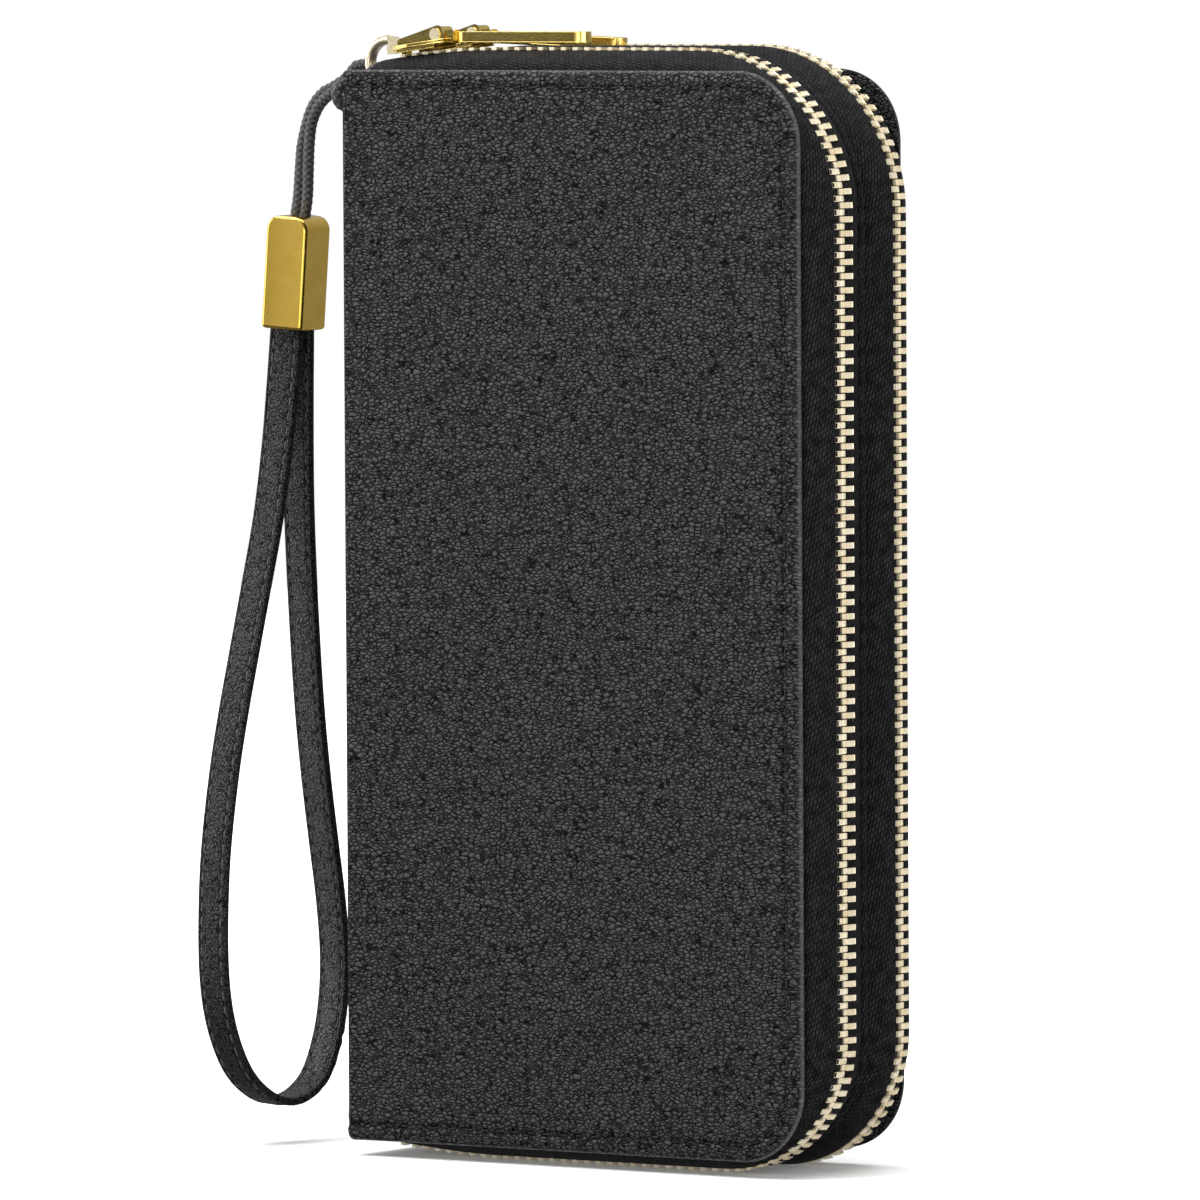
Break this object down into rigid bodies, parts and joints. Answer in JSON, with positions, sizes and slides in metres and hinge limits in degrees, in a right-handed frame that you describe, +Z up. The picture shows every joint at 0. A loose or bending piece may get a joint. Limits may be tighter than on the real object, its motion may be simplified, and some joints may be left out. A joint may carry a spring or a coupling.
{
  "type": "wristlet wallet",
  "caption": "Upright zip-around wallet in black pebbled leather with twin gold zips, slim bar pulls, and a wrist strap hung from a ring by a braided cord and a gold bead.",
  "frame": {"origin": "on the surface the wallet stands on, under the middle of the wallet and its ring", "axes": "+Z up along the spine, +X from the spine to the zipped side, the front cover faces -Y"},
  "size_m": [0.1348, 0.0399, 0.2069],
  "materials": {
    "leather": "pebbled, semi-matt black",
    "strap_leather": "smooth-grained black, stitched",
    "lining": "plain woven black",
    "board": "grey stiffener board",
    "zip_tape": "herringbone woven black",
    "zip_teeth": "pale polished gold",
    "gold": "polished gold",
    "cord": "waxed braid"
  },
  "bodies": {
    "spine": {"cover_spine": "leather", "lining_spine": "lining", "divider_core": "board", "divider_edge": "leather", "divider_lining_front": "lining", "divider_lining_rear": "lining", "divider_card_slot_1": "leather", "divider_card_slot_2": "leather", "divider_card_slot_3": "leather", "divider_card_slot_4": "leather", "divider_slip_pocket": "leather", "zip1_tape_inner": "zip_tape", "zip1_teeth_inner": "zip_teeth", "zip1_teeth_parked": "zip_teeth", "zip2_tape_inner": "zip_tape", "zip2_teeth_inner": "zip_teeth", "zip2_teeth_parked": "zip_teeth", "ring_tab": "leather"},
    "front_leaf": {"cover_front": "leather", "board_front": "board", "lining_front": "lining", "front_card_slot_1": "leather", "front_card_slot_2": "leather", "front_card_slot_3": "leather", "front_card_slot_4": "leather", "zip1_tape_outer": "zip_tape", "zip1_teeth_outer": "zip_teeth"},
    "back_leaf": {"cover_back": "leather", "board_back": "board", "lining_back": "lining", "back_slip_pocket": "leather", "zip2_tape_outer": "zip_tape", "zip2_teeth_outer": "zip_teeth"},
    "zip1_slider": {"zip1_slider": "gold", "zip1_pull_pin": "gold"},
    "zip1_pull": {"zip1_pull_link": "gold", "zip1_pull_bar": "gold"},
    "zip2_slider": {"zip2_slider": "gold", "zip2_pull_pin": "gold"},
    "zip2_pull": {"zip2_pull_link": "gold", "zip2_pull_bar": "gold"},
    "ring": {"strap_ring": "gold"},
    "strap": {"cord_hitch": "cord", "strap_cord_outer": "cord", "strap_cord_inner": "cord", "strap_bead": "gold", "wrist_strap": "strap_leather"}
  },
  "joints": [
    {"name": "front_leaf_fold", "type": "hinge", "parent": "spine", "child": "front_leaf", "pos_m": [-0.04693, -0.018, 0.102], "axis": [0, 0, -1], "range_deg": [0, 100]},
    {"name": "back_leaf_fold", "type": "hinge", "parent": "spine", "child": "back_leaf", "pos_m": [-0.04693, 0.018, 0.102], "axis": [0, 0, 1], "range_deg": [0, 100]},
    {"name": "zip1_slide", "type": "slide", "parent": "spine", "child": "zip1_slider", "axis": [1, 0, 0], "range_m": [0, 0.055]},
    {"name": "zip1_pull_swing", "type": "hinge", "parent": "zip1_slider", "child": "zip1_pull", "pos_m": [-0.03257, -0.009, 0.2053], "axis": [0, -1, 0], "range_deg": [0, 150]},
    {"name": "zip2_slide", "type": "slide", "parent": "spine", "child": "zip2_slider", "axis": [1, 0, 0], "range_m": [0, 0.059]},
    {"name": "zip2_pull_swing", "type": "hinge", "parent": "zip2_slider", "child": "zip2_pull", "pos_m": [-0.03678, 0.009, 0.2053], "axis": [0, -1, 0], "range_deg": [0, 150]},
    {"name": "ring_lean", "type": "hinge", "parent": "spine", "child": "ring", "pos_m": [-0.04693, 0, 0.19804], "axis": [0.4848, 0, 0.8746], "range_deg": [-25, 25]},
    {"name": "strap_swing", "type": "hinge", "parent": "ring", "child": "strap", "pos_m": [-0.05047, 0, 0.2], "axis": [0, 1, 0], "range_deg": [-3, 90]}
  ]
}
